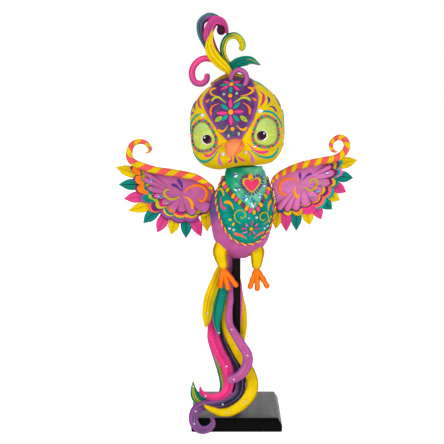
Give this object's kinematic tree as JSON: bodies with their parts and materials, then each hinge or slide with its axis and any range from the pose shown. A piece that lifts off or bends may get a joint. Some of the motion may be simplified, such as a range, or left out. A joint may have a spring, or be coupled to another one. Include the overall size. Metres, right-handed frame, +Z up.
{
  "type": "alebrije hummingbird ornament",
  "caption": "Painted folk-art hummingbird with open fluted wings, curled crest and trailing tail plumes, standing on a square post and plinth; head and wings turn.",
  "frame": {"origin": "middle of the plinth's underside, on the table", "axes": "+Z up along the post, the bird looks along -Y, +X is on the viewer's right"},
  "size_m": [0.2348, 0.1039, 0.3995],
  "materials": {
    "black_lacquer": "satin lacquer",
    "pupil_gloss": "gloss domes",
    "orchid_paint": "matte paint",
    "yellow_paint": "matte paint",
    "teal_paint": "matte paint",
    "mint_paint": "matte paint",
    "pink_paint": "matte paint",
    "coral_paint": "matte paint",
    "orange_paint": "matte paint",
    "lime_paint": "matte paint",
    "purple_paint": "matte paint",
    "navy_paint": "matte paint",
    "beadwork": "glossy seed beads",
    "twisted_cord": "twisted cord",
    "bare_wood": "bare sanded"
  },
  "bodies": {
    "stand": {"base_plinth": "black_lacquer", "stand_post": "black_lacquer"},
    "figure": {"torso": "orchid_paint", "breast_panel": "teal_paint", "breast_trim": "twisted_cord", "throat_bib": "mint_paint", "bib_beads": "beadwork", "heart_charm": "pink_paint", "left_leg": "yellow_paint", "left_foot": "orange_paint", "right_leg": "yellow_paint", "right_foot": "orange_paint", "tail_stem": "orchid_paint", "tail_yellow_leaf": "yellow_paint", "tail_teal_leaf": "teal_paint", "tail_orchid_front": "orchid_paint", "tail_pink_sweep": "pink_paint", "tail_navy_curl": "navy_paint", "tail_yellow_crescent": "yellow_paint", "tail_lime_sweep": "lime_paint", "tail_pink_strip": "pink_paint", "tail_gold_strip": "yellow_paint"},
    "neck": {"neck_ball": "bare_wood"},
    "head": {"head": "yellow_paint", "forehead_panel": "purple_paint", "beak": "orange_paint", "left_eye_plate": "lime_paint", "left_eye_beads": "beadwork", "left_pupil": "pupil_gloss", "right_eye_plate": "lime_paint", "right_eye_beads": "beadwork", "right_pupil": "pupil_gloss", "crest_orchid_ring": "orchid_paint", "crest_rose_curl": "pink_paint", "crest_yellow_leaf": "yellow_paint", "crest_teal_leaf": "teal_paint", "crest_green_curl": "lime_paint", "crest_pink_ribbon": "pink_paint", "crest_slate_loop": "navy_paint", "crest_back_leaf": "yellow_paint"},
    "left_wing": {"left_wing_panel": "orchid_paint", "left_wing_scallops": "coral_paint", "left_wing_feathers": "teal_paint", "left_wing_roll": "coral_paint", "left_wing_peg": "bare_wood"},
    "right_wing": {"right_wing_panel": "orchid_paint", "right_wing_scallops": "coral_paint", "right_wing_feathers": "teal_paint", "right_wing_roll": "coral_paint", "right_wing_peg": "bare_wood"}
  },
  "joints": [
    {"name": "figure_lift", "type": "slide", "parent": "stand", "child": "figure", "axis": [0, 0, 1], "range_m": [0, 0.06]},
    {"name": "head_turn", "type": "hinge", "parent": "figure", "child": "neck", "pos_m": [0.006, 0, 0.257], "axis": [0, 0, 1], "range_deg": [-45, 45]},
    {"name": "head_tilt", "type": "hinge", "parent": "neck", "child": "head", "pos_m": [0.006, 0, 0.257], "axis": [0, 1, 0], "range_deg": [-6, 6]},
    {"name": "left_wing_turn", "type": "hinge", "parent": "figure", "child": "left_wing", "pos_m": [-0.0263, 0.002, 0.22], "axis": [1, 0, 0], "range_deg": [-20, 20]},
    {"name": "right_wing_turn", "type": "hinge", "parent": "figure", "child": "right_wing", "pos_m": [0.0345, 0.002, 0.231], "axis": [1, 0, 0], "range_deg": [-20, 20]}
  ]
}
